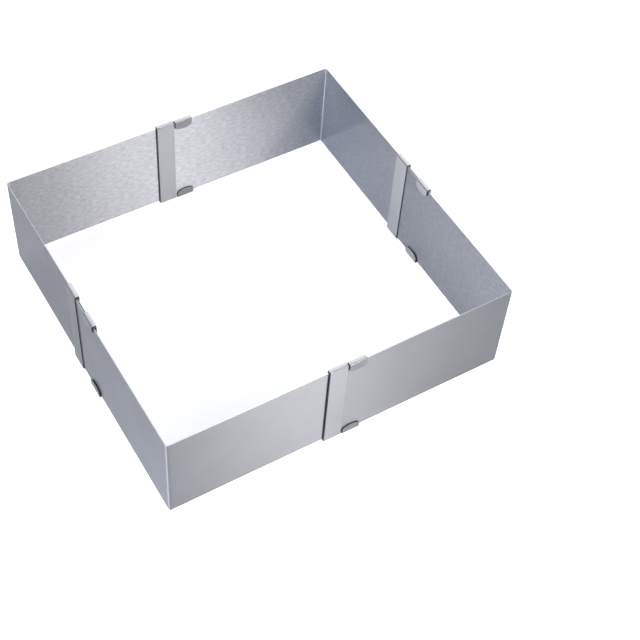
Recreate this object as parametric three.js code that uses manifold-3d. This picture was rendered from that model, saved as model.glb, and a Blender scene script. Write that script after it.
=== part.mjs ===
// Adjustable square cake frame, in millimetres, +Z up.
// Four identical corners of bent steel sheet telescope into one another, and the straps at their ends hold them.
// The origin is the centre of the footprint, on the surface that the frame stands on. The front is at -Y.
import * as THREE from "three";
import { mergeVertices } from "three/addons/utils/BufferGeometryUtils.js";
import Module from "manifold-3d";

const wasm = await Module();
wasm.setup();

// Corner sheets
const sheetHeight = 80;
const sheetThickness = 0.6;
const armLength = 150; // from the outside of the bend to the end of the arm
const bendInnerRadius = 1;

// Straps, one welded across each arm's end and folded over the neighbour that slides in it
const strapWidth = 14;
const strapThickness = 0.8;
const foldInnerRadius = 0.2;
const flapSideLength = 5; // straight side of a folded flap, from the outside of the fold
const flapBulge = 3.2; // how far the rounded end of a flap stands past its sides

// Fits
const slidingClearance = 0.5;
const stopClearance = 0.3; // between two straps that stop each other at full extension

// Where the frame is set, measured from full extension
const widthPushedIn = 0.7;
const depthPushedIn = 14;

// Fineness of the round stretches, and how far a cut runs past what it cuts
const bendSteps = 10;
const foldSteps = 5;
const flapSteps = 20;
const cutOverrun = 1;

const bendRadius = bendInnerRadius + sheetThickness;
const foldRadius = foldInnerRadius + strapThickness;
const sheetPitch = sheetThickness + slidingClearance; // from one sheet of a side to the other
const slotDepth = 2 * sheetPitch; // what a strap holds: its own sheet, the neighbour and their clearances
const edgeClearance = foldInnerRadius + slidingClearance; // a sheet's edge stays clear of the fold's inside
const sheetBase = strapThickness + edgeClearance;
const strapHeight = sheetHeight + 2 * sheetBase;
const fullSide = 2 * armLength + sheetPitch - 2 * strapWidth - stopClearance;
const width = fullSide - widthPushedIn;
const depth = fullSide - depthPushedIn;

const sheetSteel = new THREE.MeshStandardMaterial({ color: 0xa9adb5, roughness: 0.36, metalness: 1 });
const strapSteel = new THREE.MeshStandardMaterial({ color: 0xb7babf, roughness: 0.3, metalness: 1 });

// Turns a closed three.js geometry into a solid that can be cut.
function solidOf(geometry) {
  const bare = geometry.index ? geometry.toNonIndexed() : geometry.clone();
  bare.deleteAttribute("normal");
  bare.deleteAttribute("uv");
  const merged = mergeVertices(bare);
  return new wasm.Manifold(
    new wasm.Mesh({
      numProp: 3,
      vertProperties: merged.attributes.position.array,
      triVerts: new Uint32Array(merged.index.array),
    }),
  );
}

// Turns a solid back into a three.js geometry.
function geometryOf(solid) {
  const mesh = solid.getMesh();
  const geometry = new THREE.BufferGeometry();
  geometry.setAttribute("position", new THREE.BufferAttribute(mesh.vertProperties, mesh.numProp));
  geometry.setIndex(new THREE.BufferAttribute(mesh.triVerts, 1));
  geometry.computeVertexNormals();
  return geometry;
}

// The sheet seen from above: an L of even thickness with a rounded bend, its outside corner at the origin.
function cornerSheetGeometry() {
  const outline = new THREE.Shape();
  outline.moveTo(bendRadius, 0);
  outline.lineTo(armLength, 0);
  outline.lineTo(armLength, sheetThickness);
  outline.lineTo(bendRadius, sheetThickness);
  outline.absarc(bendRadius, bendRadius, bendInnerRadius, -Math.PI / 2, -Math.PI, true);
  outline.lineTo(sheetThickness, armLength);
  outline.lineTo(0, armLength);
  outline.lineTo(0, bendRadius);
  outline.absarc(bendRadius, bendRadius, bendRadius, Math.PI, 1.5 * Math.PI, false);
  return new THREE.ExtrudeGeometry(outline, {
    depth: sheetHeight,
    bevelEnabled: false,
    curveSegments: bendSteps,
  });
}

// The strap's section: a C whose web lies on its own sheet at x = 0 and whose flaps reach over the neighbour.
function strapSection(flapLength) {
  const back = -strapThickness;
  const front = slotDepth + strapThickness;
  const top = strapHeight;
  const quarter = Math.PI / 2;
  const section = new THREE.Shape();
  section.moveTo(front, flapLength);
  section.lineTo(front, foldRadius);
  section.absarc(front - foldRadius, foldRadius, foldRadius, 0, -quarter, true);
  section.lineTo(back + foldRadius, 0);
  section.absarc(back + foldRadius, foldRadius, foldRadius, -quarter, -2 * quarter, true);
  section.lineTo(back, top - foldRadius);
  section.absarc(back + foldRadius, top - foldRadius, foldRadius, 2 * quarter, quarter, true);
  section.lineTo(front - foldRadius, top);
  section.absarc(front - foldRadius, top - foldRadius, foldRadius, quarter, 0, true);
  section.lineTo(front, top - flapLength);
  section.lineTo(slotDepth, top - flapLength);
  section.lineTo(slotDepth, top - foldRadius);
  section.absarc(slotDepth - foldInnerRadius, top - foldRadius, foldInnerRadius, 0, quarter, false);
  section.lineTo(foldInnerRadius, top - strapThickness);
  section.absarc(foldInnerRadius, top - foldRadius, foldInnerRadius, quarter, 2 * quarter, false);
  section.lineTo(0, foldRadius);
  section.absarc(foldInnerRadius, foldRadius, foldInnerRadius, 2 * quarter, 3 * quarter, false);
  section.lineTo(slotDepth - foldInnerRadius, strapThickness);
  section.absarc(slotDepth - foldInnerRadius, foldRadius, foldInnerRadius, -quarter, 0, false);
  section.lineTo(slotDepth, flapLength);
  section.closePath();
  return section;
}

// What is cut from between the two flaps, seen square to them: its top and bottom are half ellipses.
function flapCutOutline() {
  const half = strapWidth / 2;
  const out = half + cutOverrun;
  const top = strapHeight - flapSideLength;
  const outline = new THREE.Shape();
  outline.moveTo(-out, flapSideLength);
  outline.lineTo(-half, flapSideLength);
  outline.absellipse(0, flapSideLength, half, flapBulge, Math.PI, 0, true);
  outline.lineTo(out, flapSideLength);
  outline.lineTo(out, top);
  outline.lineTo(half, top);
  outline.absellipse(0, top, half, flapBulge, 0, -Math.PI, true);
  outline.lineTo(-out, top);
  outline.closePath();
  return outline;
}

// A strap in its own frame: X runs across it, Y from its web to its flaps, and Z up.
function strapGeometry() {
  const blank = new THREE.ExtrudeGeometry(strapSection(flapSideLength + flapBulge + cutOverrun), {
    depth: strapWidth,
    bevelEnabled: false,
    curveSegments: foldSteps,
  });
  blank.translate(0, 0, -strapWidth / 2);
  blank.applyMatrix4(
    new THREE.Matrix4().makeBasis(
      new THREE.Vector3(0, 1, 0),
      new THREE.Vector3(0, 0, 1),
      new THREE.Vector3(1, 0, 0),
    ),
  );
  const cutStart = slotDepth - slidingClearance;
  const cutEnd = slotDepth + strapThickness + cutOverrun;
  const cut = new THREE.ExtrudeGeometry(flapCutOutline(), {
    depth: cutEnd - cutStart,
    bevelEnabled: false,
    curveSegments: flapSteps,
  });
  cut.rotateX(Math.PI / 2);
  cut.translate(0, cutEnd, 0);
  return geometryOf(solidOf(blank).subtract(solidOf(cut)));
}

const sheetGeometry = cornerSheetGeometry();
const strap = strapGeometry();

function named(name, geometry, material) {
  const mesh = new THREE.Mesh(geometry, material);
  mesh.name = name;
  return mesh;
}

// One corner, its outside bend at the origin. The arm along +X runs inside its neighbour and carries its strap's
// web on the inside of the frame. The arm along +Y runs outside its neighbour, with the web on the outside.
function corner(name) {
  const sheet = named(name + "_corner_sheet", sheetGeometry, sheetSteel);
  sheet.position.set(0, 0, sheetBase);

  const innerStrap = named(name + "_inner_arm_strap", strap, strapSteel);
  innerStrap.position.set(armLength - strapWidth / 2, sheetThickness, 0);
  innerStrap.rotation.z = Math.PI;

  const outerStrap = named(name + "_outer_arm_strap", strap, strapSteel);
  outerStrap.position.set(0, armLength - strapWidth / 2, 0);
  outerStrap.rotation.z = -Math.PI / 2;

  const group = new THREE.Group();
  group.add(sheet, innerStrap, outerStrap);
  return group;
}

// The four corners stand in a pinwheel: each one's inner arm lies inside the next one's outer arm.
const places = [
  { name: "front_left", x: -width / 2, y: -depth / 2 + sheetPitch },
  { name: "front_right", x: width / 2 - sheetPitch, y: -depth / 2 },
  { name: "rear_right", x: width / 2, y: depth / 2 - sheetPitch },
  { name: "rear_left", x: -width / 2 + sheetPitch, y: depth / 2 },
];

const cakeFrame = new THREE.Group();
places.forEach((place, quarterTurns) => {
  const group = corner(place.name);
  group.position.set(place.x, place.y, 0);
  group.rotation.z = (quarterTurns * Math.PI) / 2;
  cakeFrame.add(group);
});

export default cakeFrame;
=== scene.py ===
import math
from collections import namedtuple

import bmesh
import bpy
import numpy as np
from mathutils import Matrix, Vector


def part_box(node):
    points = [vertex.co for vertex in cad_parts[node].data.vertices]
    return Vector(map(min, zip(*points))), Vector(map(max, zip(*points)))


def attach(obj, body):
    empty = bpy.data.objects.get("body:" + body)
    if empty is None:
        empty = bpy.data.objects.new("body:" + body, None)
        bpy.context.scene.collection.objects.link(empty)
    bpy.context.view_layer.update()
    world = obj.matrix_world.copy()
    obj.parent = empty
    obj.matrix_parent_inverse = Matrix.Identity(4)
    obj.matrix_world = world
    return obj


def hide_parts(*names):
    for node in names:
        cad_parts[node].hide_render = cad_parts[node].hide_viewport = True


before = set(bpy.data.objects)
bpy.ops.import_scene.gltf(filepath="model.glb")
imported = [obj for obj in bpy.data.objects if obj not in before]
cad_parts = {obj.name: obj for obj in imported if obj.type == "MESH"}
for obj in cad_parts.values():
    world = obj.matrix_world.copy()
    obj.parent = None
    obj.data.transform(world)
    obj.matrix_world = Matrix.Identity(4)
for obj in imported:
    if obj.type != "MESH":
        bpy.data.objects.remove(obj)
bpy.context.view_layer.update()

bl_info = {
    "name": "Adjustable cake frame",
    "version": (1, 0, 0),
    "blender": (4, 5, 0),
    "location": "View3D > Sidebar > Cake frame",
    "description": "Dresses a square cake frame of telescoping steel corners in satin sheet and strip",
    "category": "Add Mesh",
}

# The corners in the order that a walk round the frame meets them. Each is a quarter turn on from the last.
CORNERS = ("front_left", "front_right", "rear_right", "rear_left")

# The lowest and highest points of the first corner's sheet, and of the strap on its inner arm.
FIRST_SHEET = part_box("front_left_corner_sheet")
FIRST_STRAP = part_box("front_left_inner_arm_strap")

# Painted reflection: how much lighter or darker than their settings' colour each corner's sheet is made,
# and the webs and flaps of its straps.
SHEET_PAINTED_REFLECTIONS = {"front_left": 0.03, "front_right": -0.08, "rear_right": 0.0, "rear_left": -0.06}
STRIP_PAINTED_REFLECTIONS = {"front_left": -0.36, "front_right": 0.03, "rear_right": 0.05, "rear_left": -0.38}

# The UV map that runs along the rolled grain, and the masks that the faces carry.
GRAIN_UV = "grain"
SHEARED = "sheared_edge"
PAINTED_EDGE_HIGHLIGHT = "burnished_edge"
INNER_FACE = "inner_face"
PAINTED_FOLD_SHADE = "stretched_fold"
# The mask of the painted reflection, which makes whole pieces lighter or darker.
PAINTED_REFLECTION = "coil_tone"

# How much lighter or darker three of the masks make the steel, as a share of its colour. The sheared edges
# are darker partly for their own dull cut and partly as painted shade of the gap beside them; the long edges
# get a painted highlight, and the folds painted shade.
SHEARED_DULL_AND_GAP_SHADE = -0.85
PAINTED_HIGHLIGHT_GAIN = 1.6
FOLD_SHADE_DARKENING = -0.5

# What both steels share. The turn draws their gleam out up and down, across the rolled grain.
GLEAM_TURN = 0.25
SKIN_ROUGHNESS = 0.1
STREAK_DETAIL = 3.0
CLOUD_DETAIL = 2.0
NOISE_MIDDLE = 0.5
CLOUD_SIZE = 0.045
CLOUD_EDGES = (0.35, 0.65)
CLOUD_DARKENING = 0.04
CLOUD_ROUGHENING = 0.03
STREAK_ROUGHENING = 0.3
SHEARED_ROUGHENING = 0.12
GRAIN_BUMP = 0.6
GRAIN_HEIGHT = 0.00004

# The waves of a sheet's ripple: weight, turn for each metre along it, turn over its height, and start.
RIPPLE_WAVES = ((1.0, 41.0, 2.1, 0.7), (0.8, 67.0, -2.6, 2.0), (0.6, 23.0, 4.4, 4.0))
# The ripple grows over this way from the bend, and is full this far from an arm's end.
BEND_FADE = 0.02
END_FADE = 0.035

# Rings of a sheet along an arm and round its bend, and rows up its face.
ARM_RINGS = 64
BEND_RINGS = 15
FACE_ROWS = 11

# Stations of a strap over a round tip, a flap, a fold, the step between two folds, and the web.
TIP_STATIONS = 19
FLAP_STATIONS = 5
FOLD_STATIONS = 8
STEP_STATIONS = 3
WEB_STATIONS = 21
PATH_SAMPLES = 6001

# Points of a skin that are nearer than this become one.
MERGE_DISTANCE = 2e-7

# The steel mirrors a dim bluish room with windows low down around it, the two brightest at the left. A
# window's light goes by the cosine of the angle from its middle: none below edge, and all above full.
Window = namedtuple("Window", "azimuth elevation edge full colour")
ROOM_COLOUR = (0.156, 0.163, 0.19)
PALE_WINDOW = (1.8, 1.85, 1.95)
WINDOWS = (
    Window(195, 15, 0.75, 0.99, (4.7, 4.8, 5.3)),
    Window(18, 14, 0.77, 0.95, PALE_WINDOW),
    Window(66, 14, 0.92, 0.985, PALE_WINDOW),
    Window(110, 14, 0.95, 0.99, PALE_WINDOW),
    Window(166, 16, 0.925, 0.985, (3.25, 3.2, 3.4)),
    Window(253, 14, 0.9, 0.985, PALE_WINDOW),
    Window(324, 14, 0.95, 0.99, PALE_WINDOW),
)

# Each lamp looks at the middle of the footprint from its azimuth, elevation and distance.
Lamp = namedtuple("Lamp", "name azimuth elevation distance size radiance colour")
LAMPS = (
    Lamp("key_lamp", 291, 37, 2.0, (0.15, 1.2), 21.3, (1.0, 0.935, 0.88)),
    Lamp("top_lamp", 55, 52, 1.5, (1.1, 0.9), 0.9, (1.0, 1.0, 1.0)),
)

WHITE = (1.0, 1.0, 1.0, 1.0)
FLOAT_SOCKET = "NodeSocketFloat"
VECTOR_SOCKET = "NodeSocketVector"
SENSOR_WIDTH = 36.0


# Settings

class CornerSheetSettings(bpy.types.PropertyGroup):
    """Sizes and finish of the bent corner sheets."""

    arm: bpy.props.FloatProperty(
        name="Arm", description="Length of each arm, from the outside of the bend",
        default=FIRST_SHEET[1].x - FIRST_SHEET[0].x, unit="LENGTH")
    thickness: bpy.props.FloatProperty(
        name="Thickness", description="Thickness of the sheet", default=0.0006, unit="LENGTH")
    bend_radius: bpy.props.FloatProperty(
        name="Bend radius", description="Radius on the inside of the bend", default=0.001, unit="LENGTH")
    edge_radius: bpy.props.FloatProperty(
        name="Edge radius", description="How far the cut edges are broken", default=0.0001, unit="LENGTH")
    ripple: bpy.props.FloatProperty(
        name="Ripple", description="How far the thin sheet strays from flat", default=0.00008,
        unit="LENGTH")
    colour: bpy.props.FloatVectorProperty(
        name="Colour", description="Colour of the satin sheet's outer face",
        default=(0.322, 0.339, 0.369), size=3, subtype="COLOR")
    # Painted light: the inner face is made this many times as bright.
    inner_painted_light: bpy.props.FloatProperty(
        name="Inner gain", description="How many times as bright the inner face's finish is", default=1.59)
    streak_length: bpy.props.FloatProperty(
        name="Streak length", description="Length of the grain's streaks", default=0.0045, unit="LENGTH")
    streak_width: bpy.props.FloatProperty(
        name="Streak width", description="Width of the grain's streaks", default=0.0015, unit="LENGTH")
    grain: bpy.props.FloatProperty(
        name="Grain", description="How strong the grain is on the outer face", default=0.08)
    inner_grain: bpy.props.FloatProperty(
        name="Inner grain", description="How strong the grain is on the inner face", default=0.85)
    roughness: bpy.props.FloatProperty(
        name="Roughness", description="Roughness of the satin sheet", default=0.45)
    anisotropy: bpy.props.FloatProperty(
        name="Anisotropy", description="How much the rolled grain draws a gleam out", default=1.0)
    edge_gleam: bpy.props.FloatProperty(
        name="Edge gleam", description="Share of a plain metal's gleam that is left when seen at a slant",
        default=0.4)
    coat: bpy.props.FloatProperty(
        name="Coat", description="How much of the polished skin there is over the grain", default=0.5)
    polish: bpy.props.FloatProperty(
        name="Polish", description="Index of the polished skin, which mirrors what is near", default=1.6)


class StrapSettings(bpy.types.PropertyGroup):
    """Sizes and finish of the straps that hold the arms together."""

    thickness: bpy.props.FloatProperty(
        name="Thickness", description="Thickness of the strip", default=0.0008, unit="LENGTH")
    fold_radius: bpy.props.FloatProperty(
        name="Fold radius", description="Radius on the inside of each fold", default=0.0002, unit="LENGTH")
    flap_side: bpy.props.FloatProperty(
        name="Flap side", description="Straight side of a flap, from the outside of the fold",
        default=0.005, unit="LENGTH")
    flap_bulge: bpy.props.FloatProperty(
        name="Flap bulge", description="How far a flap's round end stands past its sides",
        default=0.0032, unit="LENGTH")
    edge_radius: bpy.props.FloatProperty(
        name="Edge radius", description="How far the cut edges are broken", default=0.0001, unit="LENGTH")
    # Painted shade: this share of each fold's arc is darkened.
    fold_shade_share: bpy.props.FloatProperty(
        name="Stretched share", description="Share of each fold that is dull from the stretch of folding",
        default=0.75)
    colour: bpy.props.FloatVectorProperty(
        name="Colour", description="Colour of the strip", default=(0.595, 0.607, 0.624), size=3,
        subtype="COLOR")
    streak_length: bpy.props.FloatProperty(
        name="Streak length", description="Length of the grain's streaks", default=0.007, unit="LENGTH")
    streak_width: bpy.props.FloatProperty(
        name="Streak width", description="Width of the grain's streaks", default=0.0008, unit="LENGTH")
    grain: bpy.props.FloatProperty(
        name="Grain", description="How strong the grain is", default=0.08)
    roughness: bpy.props.FloatProperty(
        name="Roughness", description="Roughness of the strip", default=0.3)
    anisotropy: bpy.props.FloatProperty(
        name="Anisotropy", description="How much the strip's grain draws a gleam out", default=0.5)
    edge_gleam: bpy.props.FloatProperty(
        name="Edge gleam", description="Share of a plain metal's gleam that is left when seen at a slant",
        default=0.4)
    coat: bpy.props.FloatProperty(
        name="Coat", description="How much of the polished skin there is over the grain", default=0.5)
    polish: bpy.props.FloatProperty(
        name="Polish", description="Index of the polished skin, which mirrors what is near", default=1.5)


class StudioSettings(bpy.types.PropertyGroup):
    """The floor and the camera."""

    floor_colour: bpy.props.FloatVectorProperty(
        name="Floor colour", description="Colour of the floor", default=(0.9, 0.9, 0.9), size=3,
        subtype="COLOR")
    floor_size: bpy.props.FloatProperty(
        name="Floor size", description="Side of the square floor", default=8.0, unit="LENGTH")
    floor_glow: bpy.props.FloatProperty(
        name="Floor glow", description="How much white the floor adds for the camera", default=0.56)
    mirrored_glow: bpy.props.FloatProperty(
        name="Mirrored glow", description="How much white it adds where steel mirrors it", default=0.14)
    camera_azimuth: bpy.props.FloatProperty(
        name="Azimuth", description="Where the camera stands, turned from the front",
        default=math.radians(-34.87), subtype="ANGLE")
    camera_elevation: bpy.props.FloatProperty(
        name="Elevation", description="Height of the camera above the floor", default=math.radians(52.2045),
        subtype="ANGLE")
    camera_roll: bpy.props.FloatProperty(
        name="Roll", description="Turn of the camera about its own axis", default=math.radians(5.2828),
        subtype="ANGLE")
    camera_distance: bpy.props.FloatProperty(
        name="Distance", description="From the camera to the middle of the footprint", default=1.065,
        unit="LENGTH")
    camera_aside: bpy.props.FloatProperty(
        name="Aside", description="How far right of the footprint's middle the camera looks",
        default=0.05082, unit="LENGTH")
    camera_down: bpy.props.FloatProperty(
        name="Down", description="How far below the footprint's middle the camera looks", default=0.01091,
        unit="LENGTH")
    lens: bpy.props.FloatProperty(
        name="Lens", description="Focal length on a 36 mm sensor, in millimetres", default=78.911)


# Surfaces

def smooth_step(low, high, value):
    """0 below low, 1 above high, and 3 x^2 - 2 x^3 between."""
    share = np.clip((value - low) / (high - low), 0.0, 1.0)
    return share * share * (3.0 - 2.0 * share)


def add_skin(name, rings, grain, masks):
    """A closed skin over rings of points, (ring, place round it, xyz), whose last place repeats the first.

    Each quad joins two neighbours on two neighbouring rings. The first and last rings are closed by a flat
    face, which shrinks to nothing where the ring does. grain holds each point's (u, v). Each mask holds one
    value for every place round a ring, or for every place on every ring. The flat faces are sheared."""
    count, around = rings.shape[:2]
    index = np.arange(count * around).reshape(count, around)
    quads = np.stack([index[:-1, :-1], index[1:, :-1], index[1:, 1:], index[:-1, 1:]], axis=-1)
    caps = [index[0, :-1].tolist(), index[-1, :-1].tolist()]
    mesh = bpy.data.meshes.new(name)
    mesh.from_pydata(rings.reshape(-1, 3).tolist(), [], quads.reshape(-1, 4).tolist() + caps)
    corners = np.zeros(len(mesh.loops), np.int32)
    mesh.loops.foreach_get("vertex_index", corners)
    uv = mesh.uv_layers.new(name=GRAIN_UV)
    uv.data.foreach_set("uv", grain.reshape(-1, 2)[corners].ravel().astype(np.float32))
    for mask, values in masks.items():
        layer = mesh.attributes.new(mask, "FLOAT", "FACE")
        each = np.broadcast_to(values, (count, around))[:-1, :-1]
        each = np.append(each.ravel(), np.full(len(caps), float(mask == SHEARED)))
        layer.data.foreach_set("value", each.astype(np.float32))
    shape = bmesh.new()
    shape.from_mesh(mesh)
    bmesh.ops.remove_doubles(shape, verts=shape.verts, dist=MERGE_DISTANCE)
    bmesh.ops.recalc_face_normals(shape, faces=shape.faces)
    shape.to_mesh(mesh)
    shape.free()
    mesh.shade_smooth()
    piece = bpy.data.objects.new(name, mesh)
    bpy.context.scene.collection.objects.link(piece)
    return piece


def broken_rectangle(thickness, low, high, rounding):
    """The section of a sheet as a closed loop: each place's arc centre (across, up), and its arc's angle.

    It runs up the outer face, over the top edge, down the inner face and under the bottom edge, with a
    quarter circle at each of the four corners. The rows of a face stand closer next to its edges. The masks
    of the edges and of the inner face follow, with one value for each place."""
    half = thickness / 2 - rounding
    edge_shares = np.array([0.0, 0.012])
    first_share = 0.03
    row_shares = np.linspace(first_share, 1.0 - first_share, FACE_ROWS)
    shares = np.concatenate([edge_shares, row_shares, 1.0 - edge_shares[::-1]])
    face = low + rounding + (high - low - 2 * rounding) * shares
    arcs = np.radians([30.0, 60.0, 90.0, 90.0, 120.0, 150.0])
    rows = len(face)
    bends = len(arcs)
    side = np.concatenate([np.ones(rows + bends // 2), -np.ones(bends // 2)])
    up = np.concatenate([face, np.full(bends, face[-1])])
    down = np.concatenate([face[::-1], np.full(bends, face[0])])
    angle = np.concatenate([np.zeros(rows), arcs])
    edges = np.tile(np.concatenate([np.zeros(rows - 1), np.ones(bends + 1)]), 2)
    inner = np.concatenate([np.zeros(rows + bends), np.ones(rows - 1), np.zeros(bends + 1)])
    loop = (
        np.concatenate([side, -side]) * half,
        np.concatenate([up, down]),
        np.concatenate([angle, angle + math.pi]),
        edges,
        inner,
    )
    return [np.append(part, part[0]) for part in loop]


def sheet_ripple(along, height_share):
    """The sum of a few sine waves over the sheet, each with its weight, over the sum of the weights."""
    waves = [
        weight * np.sin(turn * along + climb * height_share + start)
        for weight, turn, climb, start in RIPPLE_WAVES]
    return sum(waves) / sum(wave[0] for wave in RIPPLE_WAVES)


def sheet_rings(settings, low, high):
    """The corner sheet in its corner's own frame: an L whose outside bend is at the origin.

    A path runs along the middle of the sheet: in along X, round a quarter circle, and out along Y. With s
    the way along it from the middle of the bend, its heading turns by the clipped s over the radius, and the
    rest of s goes straight on. The section is carried along it, moved out and in by the ripple, which fades
    out at the bend and at the straps. At both ends the section's arcs shrink as a quarter circle does, which
    rounds the cut."""
    rounding = settings.edge_radius
    outside = settings.bend_radius + settings.thickness
    middle = outside - settings.thickness / 2
    half_bend = middle * math.pi / 4
    half_path = settings.arm - outside + half_bend
    strap_width = FIRST_STRAP[1].x - FIRST_STRAP[0].x
    tip = np.radians([72.0, 45.0, 20.0])
    tips = half_path - rounding * (1 - np.sin(tip))
    arm = np.concatenate([tips, np.linspace(half_path - rounding, half_bend, ARM_RINGS)])
    shrink = np.concatenate([rounding * (1 - np.cos(tip)), np.zeros(ARM_RINGS)])
    bend = np.linspace(-half_bend, half_bend, BEND_RINGS + 2)[1:-1]
    along = np.concatenate([-arm, bend, arm[::-1]])[:, None]
    inset = np.concatenate([shrink, np.zeros(BEND_RINGS), shrink[::-1]])[:, None]
    across, up, angle, edges, inner = broken_rectangle(settings.thickness, low, high, rounding)
    out = across + (rounding - inset) * np.cos(angle)
    rise = up + (rounding - inset) * np.sin(angle)

    free = smooth_step(0.0, BEND_FADE, np.abs(along) - half_bend)
    free = free * smooth_step(strap_width, END_FADE, half_path - np.abs(along))
    out = out + settings.ripple * free * sheet_ripple(along, (rise - low) / (high - low))

    turned = np.clip(along, -half_bend, half_bend)
    towards_corner = math.radians(-135.0)
    heading = towards_corner - turned / middle
    straight = along - turned
    x = outside + (middle + out) * np.cos(heading) + straight * np.sin(heading)
    y = outside + (middle + out) * np.sin(heading) - straight * np.cos(heading)
    rings = np.stack([x, y, rise], axis=-1)
    grain = np.stack([np.broadcast_to(along, rise.shape), rise], axis=-1)
    plain = np.zeros(len(edges))
    # The long edges' mask carries a painted highlight, the inner face's mask painted light, and the tone
    # mask a painted reflection over the whole sheet.
    return rings, grain, {SHEARED: plain, PAINTED_EDGE_HIGHLIGHT: edges, INNER_FACE: inner, PAINTED_REFLECTION: plain + 1.0}


def folded_path(lengths, radius):
    """The middle line of a strip folded by a quarter turn between each two of its straight lengths.

    The heading falls by a quarter turn over each fold's arc, and the place is the running sum of the
    heading's cosine and sine. It gives the ways, the places (depth, up), the headings, the ways at which the
    folds start, and the length of a fold's arc."""
    arc = radius * math.pi / 2
    folds = len(lengths) - 1
    starts = np.cumsum(lengths[:-1]) + arc * np.arange(folds)
    way = np.linspace(0.0, np.sum(lengths) + arc * folds, PATH_SAMPLES)
    folded = np.clip((way[:, None] - starts) / arc, 0.0, 1.0).sum(1)
    downwards = math.radians(-90.0)
    heading = downwards - folded * math.pi / 2
    middle = (heading[1:] + heading[:-1]) / 2
    steps = np.diff(way)[:, None] * np.stack([np.cos(middle), np.sin(middle)], axis=-1)
    place = np.concatenate([np.zeros((1, 2)), np.cumsum(steps, axis=0)])
    return way, place, heading, starts, arc


def strap_rings(settings, width, height, slot):
    """The strap in its own frame: X across it, Y from its web to its flaps, Z up.

    The flat blank is a strip with half-elliptic ends: at a way a from a tip its half width is
    w/2 sin(phi), where a = bulge (1 - cos(phi)). Each station's section is the two faces and a rim whose
    corners are quarter circles, set in along the outline's own normal. The blank is then laid along the
    folded path: a point goes to the path's place at its way, plus its height over the middle line times the
    path's normal. Painted shade darkens the share of each fold's arc that is nearest the web or flap. The
    painted reflection's mask is 1 on the outsides of the web and the flaps."""
    rounding = settings.edge_radius
    half = settings.thickness / 2
    fold = settings.fold_radius + settings.thickness
    flap = settings.flap_side + settings.flap_bulge - fold
    across = slot - 2 * settings.fold_radius
    lengths = np.array([flap, across, height - 2 * fold, across, flap])
    way, place, heading, starts, arc = folded_path(lengths, settings.fold_radius + half)
    place = place + np.array([slot + half, flap + fold])

    phi = np.radians(np.linspace(0.0, 90.0, TIP_STATIONS))
    tip_way = settings.flap_bulge * (1 - np.cos(phi))
    tip_half = width / 2 * np.sin(phi)
    slope = np.hypot(np.cos(phi) / settings.flap_bulge, np.sin(phi) / (width / 2))
    tip_lean = np.cos(phi) / settings.flap_bulge / slope
    tip_side = np.sin(phi) / (width / 2) / slope
    between = (STEP_STATIONS, WEB_STATIONS, STEP_STATIONS)
    plain = [np.linspace(settings.flap_bulge, starts[0], FLAP_STATIONS)[1:-1]]
    for number, start in enumerate(starts):
        plain.append(np.linspace(start, start + arc, FOLD_STATIONS))
        if number < len(between):
            plain.append(np.linspace(start + arc, starts[number + 1], between[number])[1:-1])
    plain.append(np.linspace(starts[-1] + arc, way[-1] - settings.flap_bulge, FLAP_STATIONS)[1:-1])
    plain = np.concatenate(plain)
    station = np.concatenate([tip_way, plain, way[-1] - tip_way[::-1]])
    flat = np.ones(len(plain))
    half_width = np.concatenate([tip_half, flat * width / 2, tip_half[::-1]])
    lean = np.concatenate([tip_lean, flat * 0.0, -tip_lean[::-1]])
    side = np.concatenate([tip_side, flat, tip_side[::-1]])

    shares = np.array([-1.0, -0.97, -0.9, -0.6, -0.2, 0.2, 0.6, 0.9, 0.97, 1.0])
    corner = np.radians([30.0, 60.0, 90.0])
    rim_in = rounding * (1 - np.sin(corner))
    rim_up = half - rounding * (1 - np.cos(corner))
    face = len(shares)
    rim = 2 * len(corner)
    share = np.concatenate([shares, np.ones(rim), shares[::-1], -np.ones(rim)])
    inset = np.tile(np.concatenate([np.full(face, rounding), rim_in, rim_in[::-1]]), 2)
    above = np.concatenate([np.full(face, half), rim_up, -rim_up[::-1]])
    above = np.concatenate([above, -above])
    cut = np.tile(np.concatenate([np.zeros(face - 1), np.ones(rim + 1)]), 2)
    share, inset, above, cut = [np.append(part, part[0]) for part in (share, inset, above, cut)]

    at = station[:, None] + lean[:, None] * inset
    aside = share * (half_width[:, None] - side[:, None] * inset)
    turn = np.interp(at, way, heading)
    depth = np.interp(at, way, place[:, 0]) - above * np.sin(turn)
    rise = np.interp(at, way, place[:, 1]) + above * np.cos(turn)
    rings = np.stack([aside, depth, rise], axis=-1)

    # The faces after a station are judged by the way halfway to the next one.
    after = np.append((station[1:] + station[:-1]) / 2, way[-1])
    upright_end = starts + arc * np.array([0.0, 1.0, 0.0, 1.0])
    folded = (after[:, None] - upright_end) * np.array([1.0, -1.0, 1.0, -1.0]) / arc
    # Painted shade: the share of each fold's arc nearest the web or flap is darkened.
    fold_shaded = ((folded > 0.0) & (folded < settings.fold_shade_share)).any(axis=1)
    lower = (after > starts[0]) & (after < starts[1] + arc)
    upper = (after > starts[2]) & (after < starts[3] + arc)
    upright = ~(lower | upper)
    outside = (np.arange(len(share)) < face - 1) * 1.0
    # The fold mask carries painted shade, and the tone mask a painted reflection on the outsides of the web
    # and the flaps.
    masks = {SHEARED: cut, PAINTED_FOLD_SHADE: fold_shaded[:, None] * outside, PAINTED_REFLECTION: upright[:, None] * outside}
    return rings, np.stack([at, aside], axis=-1), masks


# Shader nodes

def put(tree, value, socket):
    """Links another node's socket to this one, or sets this one to a plain value."""
    if isinstance(value, bpy.types.NodeSocket):
        tree.links.new(value, socket)
    else:
        socket.default_value = value


def maths(tree, operation, first, second):
    """A Math node on two sockets or numbers."""
    node = tree.nodes.new("ShaderNodeMath")
    node.operation = operation
    put(tree, first, node.inputs[0])
    put(tree, second, node.inputs[1])
    return node.outputs[0]


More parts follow.
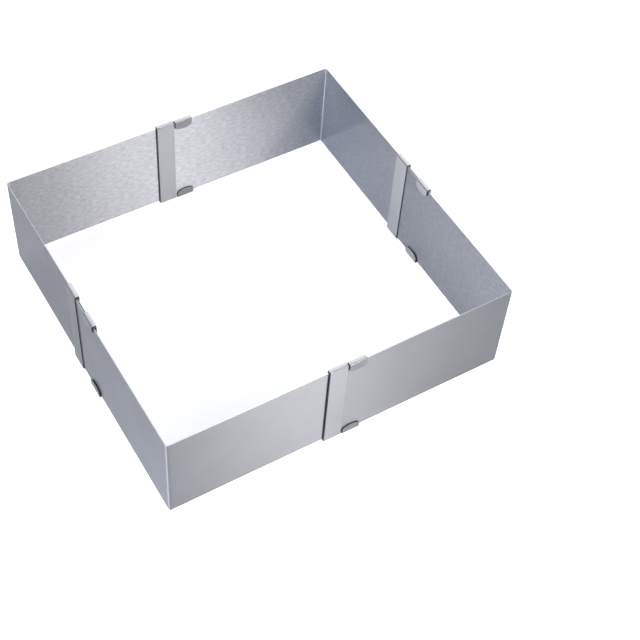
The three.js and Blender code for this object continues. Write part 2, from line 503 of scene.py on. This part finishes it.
def scaled(tree, vector, scale):
    """A vector or colour times a number."""
    node = tree.nodes.new("ShaderNodeVectorMath")
    node.operation = "SCALE"
    put(tree, vector, node.inputs[0])
    put(tree, scale, node.inputs["Scale"])
    return node.outputs[0]


def smooth_ramp(tree, value, low, high):
    """0 below low, 1 above high, and a smooth step between."""
    ramp = tree.nodes.new("ShaderNodeMapRange")
    ramp.interpolation_type = "SMOOTHSTEP"
    ramp.inputs["From Min"].default_value = low
    ramp.inputs["From Max"].default_value = high
    tree.links.new(value, ramp.inputs["Value"])
    return ramp.outputs[0]


def noise(tree, vector, detail):
    """Noise of size 1 at a vector."""
    node = tree.nodes.new("ShaderNodeTexNoise")
    node.inputs["Scale"].default_value = 1.0
    node.inputs["Detail"].default_value = detail
    tree.links.new(vector, node.inputs["Vector"])
    return node.outputs[0]


def new_group(name, inputs, output):
    """An empty shader group with the named input sockets and one float output."""
    group = bpy.data.node_groups.new(name, "ShaderNodeTree")
    for label, kind in inputs.items():
        group.interface.new_socket(label, in_out="INPUT", socket_type=kind)
    group.interface.new_socket(output, in_out="OUTPUT", socket_type=FLOAT_SOCKET)
    return group, group.nodes.new("NodeGroupInput"), group.nodes.new("NodeGroupOutput")


def placed_group(tree, name, values):
    """A node that places a shader group, with its own values."""
    node = tree.nodes.new("ShaderNodeGroup")
    node.node_tree = bpy.data.node_groups[name]
    for label, value in values.items():
        node.inputs[label].default_value = value
    return node


def rolled_grain_group():
    """Fine streaks along the way the steel was rolled: noise drawn out along u."""
    sockets = {"Grain": VECTOR_SOCKET, "Length": FLOAT_SOCKET, "Width": FLOAT_SOCKET}
    group, given, result = new_group("Rolled grain", sockets, "Streaks")
    split = group.nodes.new("ShaderNodeSeparateXYZ")
    join = group.nodes.new("ShaderNodeCombineXYZ")
    group.links.new(given.outputs["Grain"], split.inputs[0])
    put(group, maths(group, "DIVIDE", split.outputs["X"], given.outputs["Length"]), join.inputs["X"])
    put(group, maths(group, "DIVIDE", split.outputs["Y"], given.outputs["Width"]), join.inputs["Y"])
    group.links.new(noise(group, join.outputs[0], STREAK_DETAIL), result.inputs["Streaks"])


def handling_group():
    """Broad soft clouds where the steel was wiped and handled, from 0 to 1."""
    sockets = {"Place": VECTOR_SOCKET, "Size": FLOAT_SOCKET}
    group, given, result = new_group("Handling clouds", sockets, "Clouds")
    shrunk = scaled(group, given.outputs["Place"], maths(group, "DIVIDE", 1.0, given.outputs["Size"]))
    clouds = smooth_ramp(group, noise(group, shrunk, CLOUD_DETAIL), *CLOUD_EDGES)
    group.links.new(clouds, result.inputs["Clouds"])


def steel_material(name, settings, shades):
    """Satin steel: rolled streaks in its colour, roughness and height, soft clouds, and a polished skin.

    shades gives how much lighter or darker each mask makes the steel, as a share of its colour. These are
    painted light and shade, apart from the sheared edges' own dull cut. Where the inner face is one of them,
    it has its own strength of streaks."""
    material = bpy.data.materials.new(name)
    material.use_nodes = True
    tree = material.node_tree
    shader = tree.nodes["Principled BSDF"]
    shader.inputs["Metallic"].default_value = 1.0
    shader.inputs["Specular Tint"].default_value = (settings.edge_gleam,) * 3 + (1.0,)
    shader.inputs["Anisotropic"].default_value = settings.anisotropy
    shader.inputs["Anisotropic Rotation"].default_value = GLEAM_TURN
    shader.inputs["Coat Weight"].default_value = settings.coat
    shader.inputs["Coat Roughness"].default_value = SKIN_ROUGHNESS
    shader.inputs["Coat IOR"].default_value = settings.polish
    tangent = tree.nodes.new("ShaderNodeTangent")
    tangent.direction_type = "UV_MAP"
    tangent.uv_map = GRAIN_UV
    tree.links.new(tangent.outputs[0], shader.inputs["Tangent"])

    grain = tree.nodes.new("ShaderNodeUVMap")
    grain.uv_map = GRAIN_UV
    place = tree.nodes.new("ShaderNodeTexCoord")
    streaks = placed_group(
        tree, "Rolled grain", {"Length": settings.streak_length, "Width": settings.streak_width})
    tree.links.new(grain.outputs[0], streaks.inputs["Grain"])
    clouds = placed_group(tree, "Handling clouds", {"Size": CLOUD_SIZE})
    tree.links.new(place.outputs["Object"], clouds.inputs["Place"])
    masks = {}
    for mask in shades:
        node = tree.nodes.new("ShaderNodeAttribute")
        node.attribute_name = mask
        masks[mask] = node.outputs["Fac"]

    strength = settings.grain
    if INNER_FACE in masks:
        more = maths(tree, "MULTIPLY", masks[INNER_FACE], settings.inner_grain - settings.grain)
        strength = maths(tree, "ADD", more, settings.grain)
    centred = maths(tree, "SUBTRACT", streaks.outputs["Streaks"], NOISE_MIDDLE)
    streak = maths(tree, "MULTIPLY", centred, strength)

    cloudy = maths(tree, "MULTIPLY", clouds.outputs["Clouds"], CLOUD_DARKENING)
    level = maths(tree, "SUBTRACT", maths(tree, "ADD", streak, 1.0), cloudy)
    # Each mask's shade is painted light or shade, apart from the sheared edges' own dull cut.
    for mask, change in shades.items():
        shade = maths(tree, "ADD", maths(tree, "MULTIPLY", masks[mask], change), 1.0)
        level = maths(tree, "MULTIPLY", level, shade)
    tree.links.new(scaled(tree, settings.colour, level), shader.inputs["Base Color"])

    rough = maths(tree, "MULTIPLY", clouds.outputs["Clouds"], CLOUD_ROUGHENING)
    rough = maths(tree, "ADD", rough, settings.roughness)
    rough = maths(tree, "ADD", rough, maths(tree, "MULTIPLY", streak, STREAK_ROUGHENING))
    rough = maths(tree, "ADD", rough, maths(tree, "MULTIPLY", masks[SHEARED], SHEARED_ROUGHENING))
    tree.links.new(rough, shader.inputs["Roughness"])

    bump = tree.nodes.new("ShaderNodeBump")
    bump.inputs["Strength"].default_value = GRAIN_BUMP
    bump.inputs["Distance"].default_value = GRAIN_HEIGHT
    tree.links.new(streak, bump.inputs["Height"])
    tree.links.new(bump.outputs[0], shader.inputs["Normal"])
    return material


# Operators

def corner_place(name):
    """The matrix from a corner's own frame to the row frame: a quarter turn for each corner before it."""
    turns = CORNERS.index(name)
    low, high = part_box(name + "_corner_sheet")
    x = (low.x, high.x, high.x, low.x)[turns]
    y = (low.y, low.y, high.y, high.y)[turns]
    return Matrix.Translation((x, y, 0.0)) @ Matrix.Rotation(turns * math.pi / 2, 4, "Z")


def strap_place(node, towards, slot):
    """The matrix from a strap's own frame to the row frame, for a strap that opens towards an azimuth."""
    low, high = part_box(node)
    web = Vector(((low.x + high.x) / 2, (low.y + high.y) / 2, low.z))
    web -= slot / 2 * Vector((math.cos(towards), math.sin(towards), 0.0))
    return Matrix.Translation(web) @ Matrix.Rotation(towards - math.pi / 2, 4, "Z")


class CAKEFRAME_OT_corner_sheets(bpy.types.Operator):
    """Add the four bent corner sheets"""

    bl_idname = "cakeframe.corner_sheets"
    bl_label = "Corner sheets"

    def execute(self, context):
        settings = context.scene.cakeframe_sheets
        rolled_grain_group()
        handling_group()
        # Painted light and shade: inner faces and long edges brightened, each corner's sheet made lighter or
        # darker, and the sheared ends darkened partly as painted shade.
        shades = {
            INNER_FACE: settings.inner_painted_light - 1.0,
            SHEARED: SHEARED_DULL_AND_GAP_SHADE,
            PAINTED_EDGE_HIGHLIGHT: PAINTED_HIGHLIGHT_GAIN,
            PAINTED_REFLECTION: 1.0,
        }
        steel = steel_material("Satin sheet steel", settings, shades)
        rings, grain, masks = sheet_rings(settings, FIRST_SHEET[0].z, FIRST_SHEET[1].z)
        for name in CORNERS:
            # Painted reflection: this corner's sheet is made lighter or darker.
            tone = masks[PAINTED_REFLECTION] * SHEET_PAINTED_REFLECTIONS[name]
            piece = add_skin("sheet_" + name, rings, grain, {**masks, PAINTED_REFLECTION: tone})
            piece.data.transform(corner_place(name))
            piece.data.materials.append(steel)
            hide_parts(name + "_corner_sheet")
            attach(piece, name + "_corner")
        return {"FINISHED"}


class CAKEFRAME_OT_straps(bpy.types.Operator):
    """Add the strap at the end of each arm"""

    bl_idname = "cakeframe.straps"
    bl_label = "Straps"

    def execute(self, context):
        settings = context.scene.cakeframe_straps
        # Painted shade on part of each fold and, partly, on the sheared edges; and a painted reflection on
        # each corner's webs and flaps.
        shades = {SHEARED: SHEARED_DULL_AND_GAP_SHADE, PAINTED_FOLD_SHADE: FOLD_SHADE_DARKENING, PAINTED_REFLECTION: 1.0}
        steel = steel_material("Strap steel", settings, shades)
        low, high = FIRST_STRAP
        slot = high.y - low.y - 2 * settings.thickness
        rings, grain, masks = strap_rings(settings, high.x - low.x, high.z - low.z, slot)
        # An inner arm's strap opens outwards, away from the frame's inside. An outer arm's opens inwards.
        for turns, name in enumerate(CORNERS):
            # Painted reflection: this corner's webs and flaps are made lighter or darker.
            tone = masks[PAINTED_REFLECTION] * STRIP_PAINTED_REFLECTIONS[name]
            for arm, opens in (("inner", -90.0), ("outer", 0.0)):
                node = f"{name}_{arm}_arm_strap"
                piece = add_skin(f"strap_{name}_{arm}", rings, grain, {**masks, PAINTED_REFLECTION: tone})
                towards = math.radians(opens) + turns * math.pi / 2
                piece.data.transform(strap_place(node, towards, slot))
                piece.data.materials.append(steel)
                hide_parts(node)
                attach(piece, name + "_corner")
        return {"FINISHED"}


def compass(azimuth, elevation):
    """The direction at an azimuth from +X and an elevation, both in degrees."""
    around, up = math.radians(azimuth), math.radians(elevation)
    return Vector((math.cos(around) * math.cos(up), math.sin(around) * math.cos(up), math.sin(up)))


def add_lamp(lamp):
    """A rectangular soft lamp that looks at the frame, with its own brightness as seen from there."""
    towards = compass(lamp.azimuth, lamp.elevation)
    data = bpy.data.lights.new(lamp.name, "AREA")
    data.shape = "RECTANGLE"
    data.size, data.size_y = lamp.size
    # A lamp's radiance is its power over four times its area.
    data.energy = 4 * lamp.radiance * lamp.size[0] * lamp.size[1]
    data.color = lamp.colour
    placed = bpy.data.objects.new(lamp.name, data)
    placed.location = towards * lamp.distance
    placed.rotation_euler = towards.to_track_quat("Z", "Y").to_euler()
    bpy.context.scene.collection.objects.link(placed)


def add_window(tree, room, window):
    """Adds to the room's colour a broad glow that fades smoothly between two cosines from its middle."""
    place = tree.nodes.new("ShaderNodeTexCoord")
    cosine = tree.nodes.new("ShaderNodeVectorMath")
    cosine.operation = "DOT_PRODUCT"
    cosine.inputs[1].default_value = compass(window.azimuth, window.elevation)
    tree.links.new(place.outputs["Generated"], cosine.inputs[0])
    share = smooth_ramp(tree, cosine.outputs["Value"], window.edge, window.full)
    total = tree.nodes.new("ShaderNodeVectorMath")
    tree.links.new(scaled(tree, window.colour, share), total.inputs[0])
    put(tree, room, total.inputs[1])
    return total.outputs[0]


def studio_world():
    """White to the camera, and to the rest the room with its windows."""
    world = bpy.data.worlds.new("Studio")
    world.use_nodes = True
    tree = world.node_tree
    room = ROOM_COLOUR
    for window in WINDOWS:
        room = add_window(tree, room, window)
    seen = tree.nodes.new("ShaderNodeMix")
    seen.data_type = "RGBA"
    seen.inputs["B"].default_value = WHITE
    rays = tree.nodes.new("ShaderNodeLightPath")
    tree.links.new(rays.outputs["Is Camera Ray"], seen.inputs["Factor"])
    tree.links.new(room, seen.inputs["A"])
    tree.links.new(seen.outputs["Result"], tree.nodes["Background"].inputs["Color"])
    bpy.context.scene.world = world


def floor_material(settings):
    """A plain floor, lifted for the camera so that it meets the white background and keeps its shadow."""
    material = bpy.data.materials.new("Studio floor")
    material.use_nodes = True
    tree = material.node_tree
    shader = tree.nodes["Principled BSDF"]
    shader.inputs["Base Color"].default_value = (*settings.floor_colour, 1.0)
    shader.inputs["Roughness"].default_value = 1.0
    shader.inputs["Specular IOR Level"].default_value = 0.0
    shader.inputs["Emission Color"].default_value = WHITE
    rays = tree.nodes.new("ShaderNodeLightPath")
    seen = maths(tree, "MULTIPLY", rays.outputs["Is Camera Ray"], settings.floor_glow)
    mirrored = maths(tree, "MULTIPLY", rays.outputs["Is Glossy Ray"], settings.mirrored_glow)
    tree.links.new(maths(tree, "ADD", seen, mirrored), shader.inputs["Emission Strength"])
    return material


def add_camera(settings):
    """The camera looks from its azimuth and elevation at a spot beside the middle, at the sheets' foot."""
    azimuth, elevation = settings.camera_azimuth, settings.camera_elevation
    east = math.sin(azimuth) * math.cos(elevation)
    north = -math.cos(azimuth) * math.cos(elevation)
    back = Vector((east, north, math.sin(elevation)))
    level = Vector((0.0, 0.0, 1.0)).cross(back).normalized()
    roll = Matrix.Rotation(settings.camera_roll, 3, back)
    right = roll @ level
    upwards = roll @ back.cross(level)
    foot = Vector((0.0, 0.0, FIRST_SHEET[0].z))
    spot = foot + back * settings.camera_distance
    spot += right * settings.camera_aside - upwards * settings.camera_down
    data = bpy.data.cameras.new("camera")
    data.sensor_width = SENSOR_WIDTH
    data.lens = settings.lens
    camera = bpy.data.objects.new("camera", data)
    turn = Matrix((right, upwards, back)).transposed().to_4x4()
    camera.matrix_world = Matrix.Translation(spot) @ turn
    bpy.context.scene.collection.objects.link(camera)
    bpy.context.scene.camera = camera


class CAKEFRAME_OT_studio(bpy.types.Operator):
    """Add the floor, the lamps, the world and the camera"""

    bl_idname = "cakeframe.studio"
    bl_label = "Studio"

    def execute(self, context):
        settings = context.scene.cakeframe_studio
        context.scene.view_settings.view_transform = "Standard"
        half = settings.floor_size / 2
        plan = bpy.data.meshes.new("floor")
        corners = [(-half, -half, 0), (half, -half, 0), (half, half, 0), (-half, half, 0)]
        plan.from_pydata(corners, [], [(0, 1, 2, 3)])
        floor = bpy.data.objects.new("floor", plan)
        context.scene.collection.objects.link(floor)
        floor.data.materials.append(floor_material(settings))

        studio_world()
        for lamp in LAMPS:
            add_lamp(lamp)
        add_camera(settings)
        return {"FINISHED"}


class CAKEFRAME_PT_panel(bpy.types.Panel):
    """Lists the pieces of the cake frame and their settings"""

    bl_idname = "CAKEFRAME_PT_panel"
    bl_label = "Cake frame"
    bl_space_type = "VIEW_3D"
    bl_region_type = "UI"
    bl_category = "Cake frame"

    def draw(self, context):
        for operator, group in STEPS:
            box = self.layout.box()
            box.operator(operator.bl_idname)
            settings = getattr(context.scene, group)
            for name in settings.__annotations__:
                box.prop(settings, name)


STEPS = (
    (CAKEFRAME_OT_corner_sheets, "cakeframe_sheets"),
    (CAKEFRAME_OT_straps, "cakeframe_straps"),
    (CAKEFRAME_OT_studio, "cakeframe_studio"),
)
GROUPS = {
    "cakeframe_sheets": CornerSheetSettings,
    "cakeframe_straps": StrapSettings,
    "cakeframe_studio": StudioSettings,
}
CLASSES = (*GROUPS.values(), *(operator for operator, group in STEPS), CAKEFRAME_PT_panel)


def register():
    for cls in CLASSES:
        bpy.utils.register_class(cls)
    for name, cls in GROUPS.items():
        setattr(bpy.types.Scene, name, bpy.props.PointerProperty(type=cls))


def unregister():
    for name in GROUPS:
        delattr(bpy.types.Scene, name)
    for cls in reversed(CLASSES):
        bpy.utils.unregister_class(cls)


def main():
    register()
    bpy.ops.cakeframe.corner_sheets()
    bpy.ops.cakeframe.straps()
    bpy.ops.cakeframe.studio()


if __name__ == "__main__":
    main()
